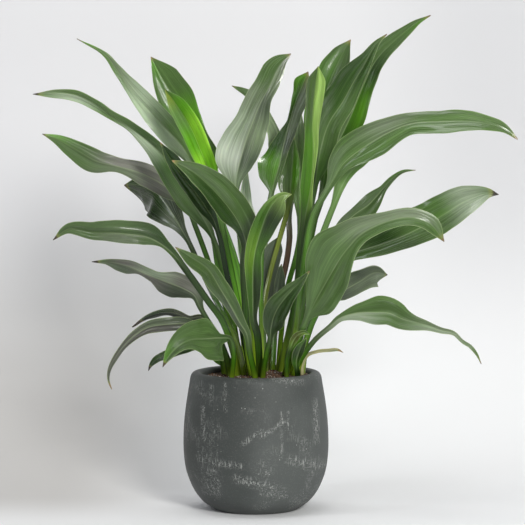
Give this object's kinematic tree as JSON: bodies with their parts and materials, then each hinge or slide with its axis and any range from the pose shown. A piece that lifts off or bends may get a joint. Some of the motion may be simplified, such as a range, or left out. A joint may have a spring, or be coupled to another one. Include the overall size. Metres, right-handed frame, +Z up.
{
  "type": "potted cast iron plant",
  "caption": "Cast iron plant with long strap leaves on slender stalks, growing from soil in a round-bellied, rounded-lip planter.",
  "frame": {"origin": "centre of the planter's flat base, on the surface it stands on", "axes": "+Z up along the planter's axis; -Y towards the viewer of the picture; +X to the viewer's right"},
  "size_m": [0.615, 0.3467, 0.6399],
  "materials": {
    "pot": "matte",
    "soil": "matte",
    "leaf": "satin",
    "young_leaf": "satin",
    "leaf_underside": "satin",
    "dry_leaf": "matte"
  },
  "bodies": {
    "root": {"pot": "pot", "soil": "soil", "leaf_01": "leaf", "leaf_02": "leaf", "leaf_03": "young_leaf", "leaf_04": "leaf", "leaf_05": "leaf", "leaf_06": "leaf_underside", "leaf_07": "leaf_underside", "leaf_08": "leaf", "leaf_09": "leaf", "leaf_10": "leaf_underside", "leaf_11": "leaf", "leaf_12": "leaf_underside", "leaf_13": "leaf", "leaf_14": "leaf", "leaf_15": "leaf", "leaf_16": "leaf", "leaf_17": "leaf", "leaf_18": "leaf", "leaf_19": "young_leaf", "leaf_20": "leaf", "leaf_21": "leaf", "leaf_22": "leaf", "leaf_23": "leaf", "leaf_24": "leaf", "leaf_25": "leaf", "leaf_26": "leaf", "leaf_27": "leaf", "leaf_28": "leaf_underside", "leaf_29": "leaf", "leaf_30": "dry_leaf", "leaf_31": "young_leaf", "leaf_32": "leaf", "leaf_33": "leaf_underside", "leaf_34": "leaf_underside", "leaf_35": "leaf", "leaf_36": "leaf", "leaf_37": "leaf", "leaf_38": "leaf", "leaf_39": "leaf", "leaf_40": "leaf", "leaf_41": "leaf", "leaf_42": "leaf", "leaf_43": "young_leaf"}
  },
  "joints": []
}
